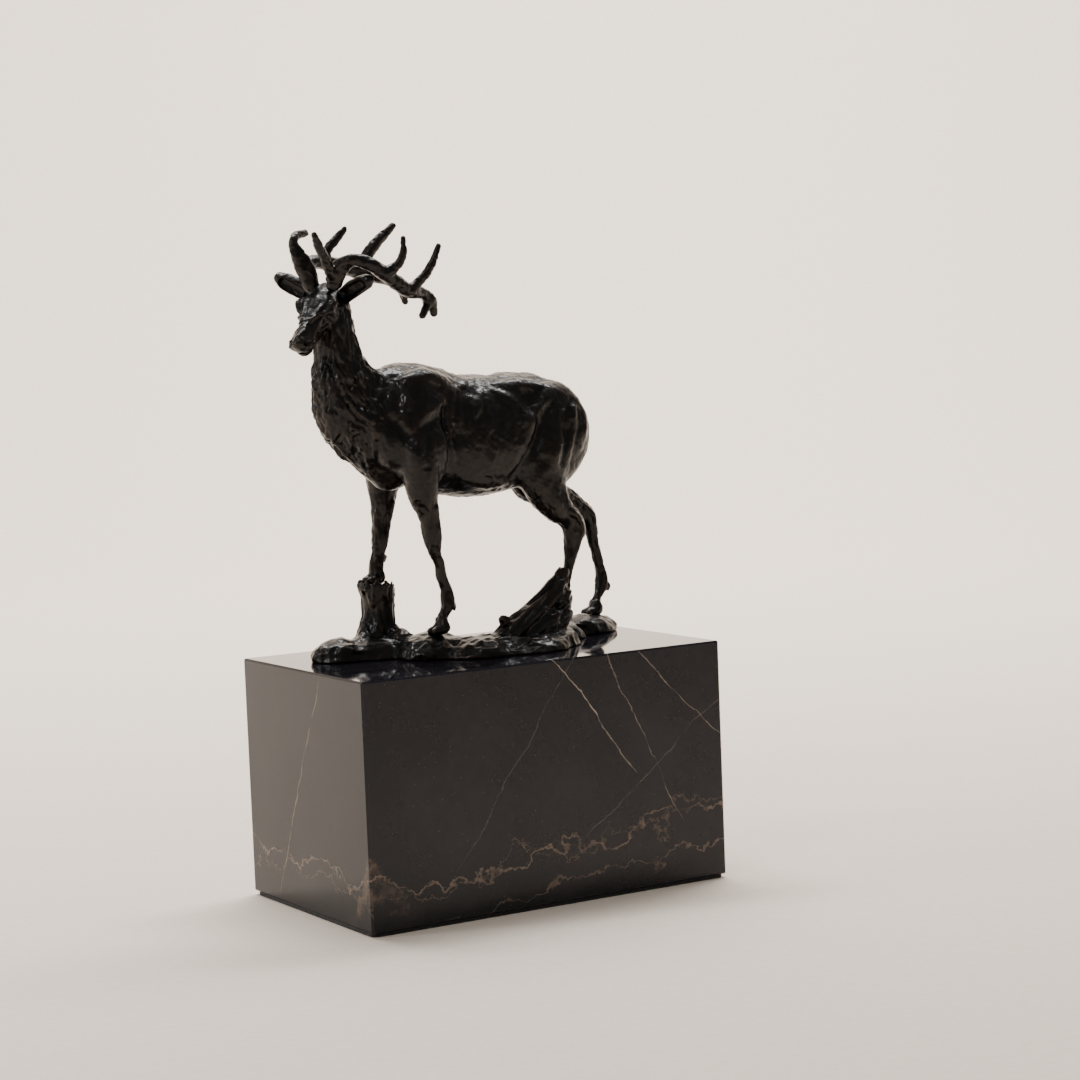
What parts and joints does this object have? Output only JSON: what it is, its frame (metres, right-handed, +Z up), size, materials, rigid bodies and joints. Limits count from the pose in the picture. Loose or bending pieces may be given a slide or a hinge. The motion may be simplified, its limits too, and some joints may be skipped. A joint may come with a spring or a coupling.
{
  "type": "animal statuette",
  "caption": "Patinated bronze stag standing on a rocky ground with a stump and a log, bolted to a polished dark marble block with a felt base.",
  "frame": {"origin": "middle of the felt's underside, on the surface that the block stands on", "axes": "+Z up through the block, X along the block's long side with the stag facing -X, +Y across the block to the stag's right"},
  "size_m": [0.1683, 0.106, 0.2784],
  "materials": {
    "bronze": "dark brown patina over cast and chased bronze, waxed, with brown wear on raised parts",
    "raw_bronze": "turned, unpatinated",
    "marble": "dark grey marble with thin beige and rust veins, high polish",
    "steel": "zinc plated",
    "felt": "black pressed felt"
  },
  "bodies": {
    "root": {"marble_block": "marble", "felt_pad": "felt", "stud_front": "steel", "stud_rear": "steel", "washer_front": "steel", "washer_rear": "steel", "nut_front": "steel", "nut_rear": "steel", "insert_front": "raw_bronze", "insert_rear": "raw_bronze", "ground": "bronze", "stump": "bronze", "log": "bronze", "torso": "bronze", "core_plug": "bronze", "neck": "bronze", "head": "bronze", "ear_left": "bronze", "ear_right": "bronze", "antler_left": "bronze", "antler_right": "bronze", "foreleg_left": "bronze", "foreleg_right": "bronze", "hindleg_left": "bronze", "hindleg_right": "bronze", "tail": "bronze"}
  },
  "joints": []
}
